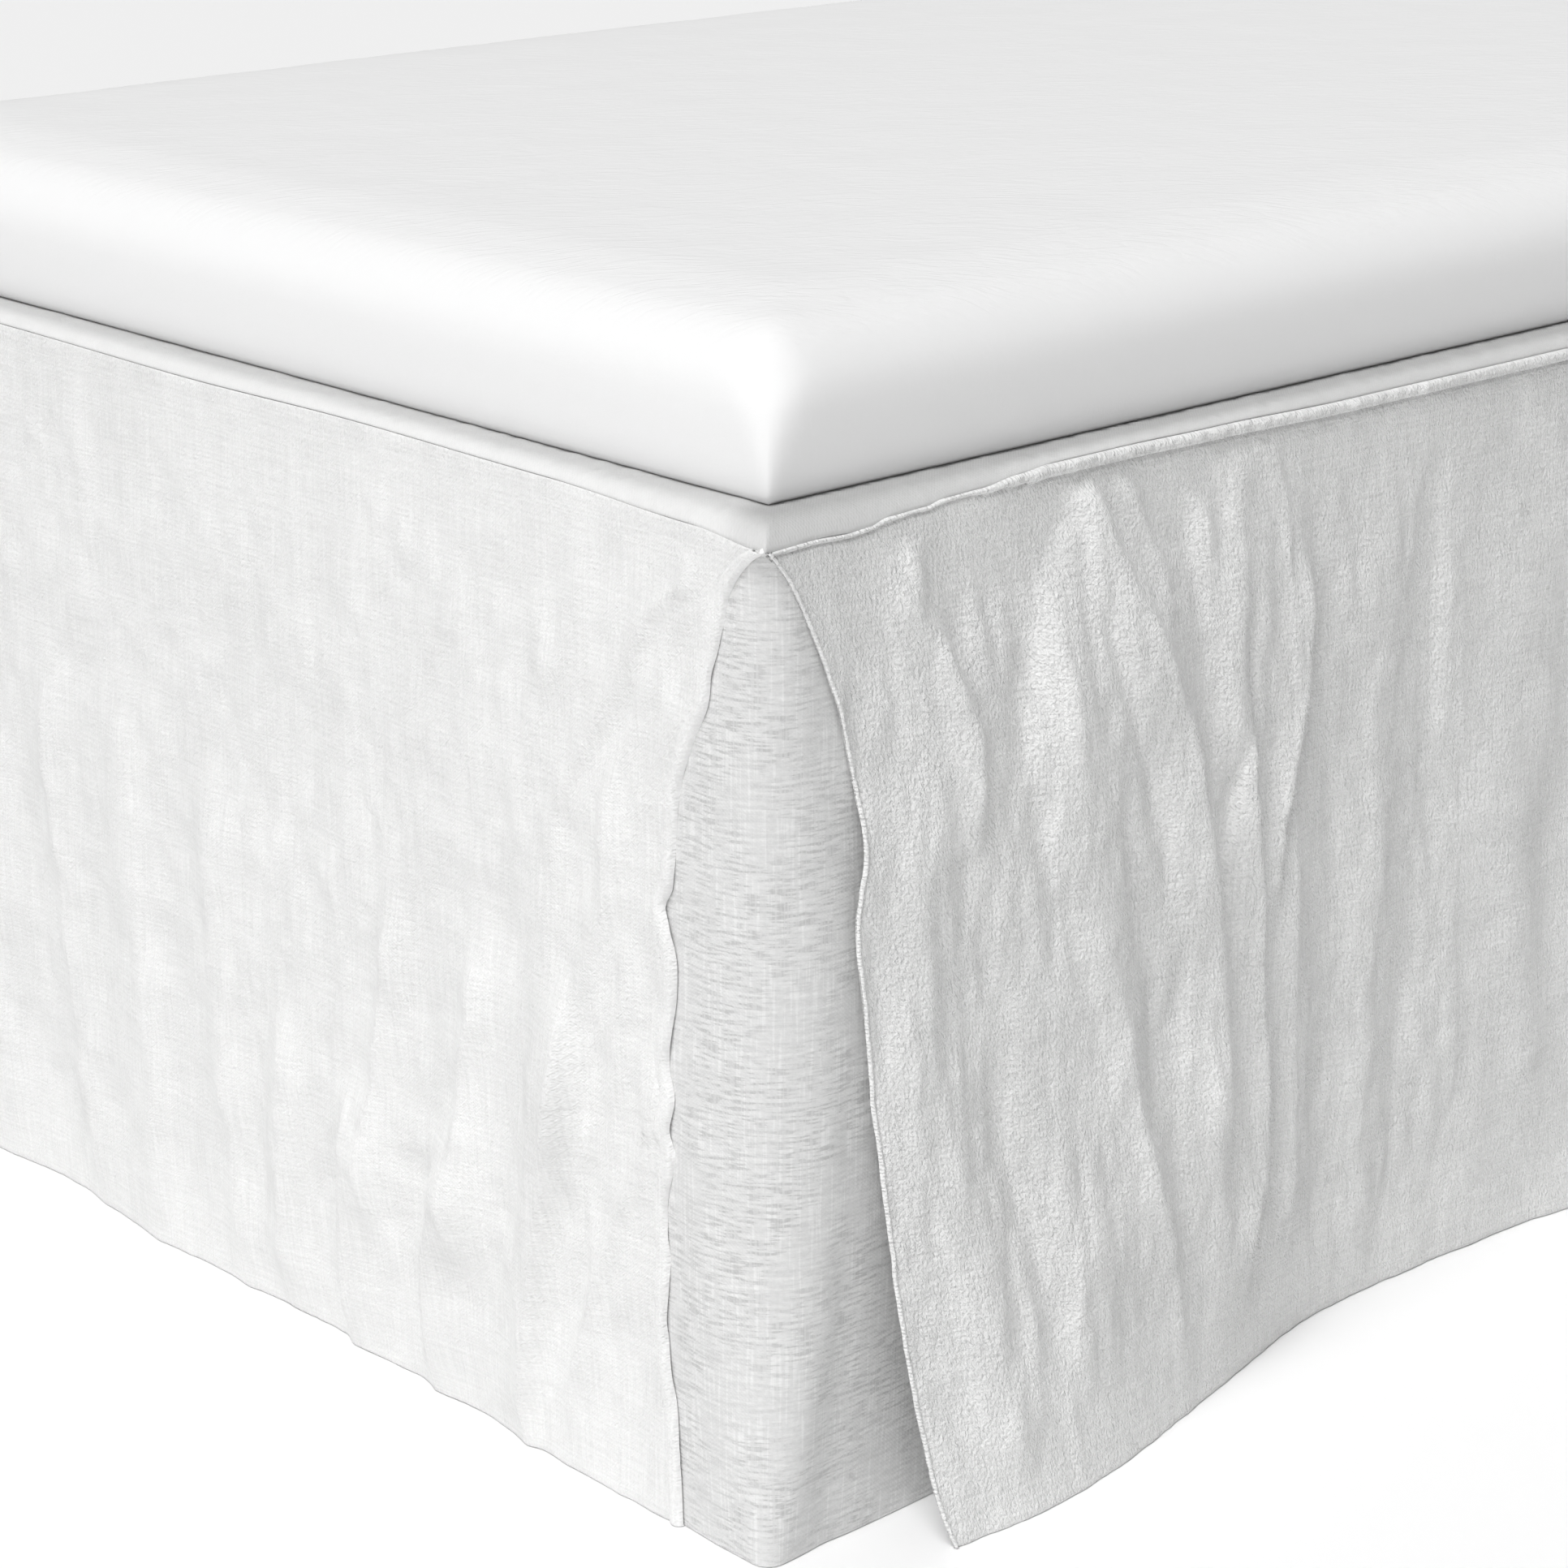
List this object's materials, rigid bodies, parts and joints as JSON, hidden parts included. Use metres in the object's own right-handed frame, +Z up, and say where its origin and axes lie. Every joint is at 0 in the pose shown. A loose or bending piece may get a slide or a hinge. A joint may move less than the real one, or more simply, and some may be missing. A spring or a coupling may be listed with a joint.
{
  "type": "bed skirt on a bed base with a mattress topper",
  "caption": "Plain linen bed skirt with split foot corners and inner gussets, hanging from its deck between a legged bed base and a topper.",
  "frame": {"origin": "on the floor, below the middle of the footprint", "axes": "+Z up, +Y towards the head of the bed, -Y out of the foot panel, +X towards the right side panel"},
  "size_m": [1.0134, 2.0175, 0.6104],
  "materials": {
    "linen": "washed plain weave with slubs, matt",
    "sheer_linen": "loose plain weave with slubs, matt",
    "sheet_cotton": "fine smooth weave, matt",
    "base_cloth": "plain upholstery weave, matt",
    "leg_wood": "oiled, satin"
  },
  "bodies": {
    "root": {"skirt_deck": "linen", "foot_panel": "linen", "right_side_panel": "linen", "left_side_panel": "linen", "right_corner_gusset": "sheer_linen", "left_corner_gusset": "sheer_linen", "bed_base": "base_cloth", "leg_right_1": "leg_wood", "leg_right_2": "leg_wood", "leg_right_3": "leg_wood", "leg_left_1": "leg_wood", "leg_left_2": "leg_wood", "leg_left_3": "leg_wood", "mattress_topper": "sheet_cotton"}
  },
  "joints": []
}
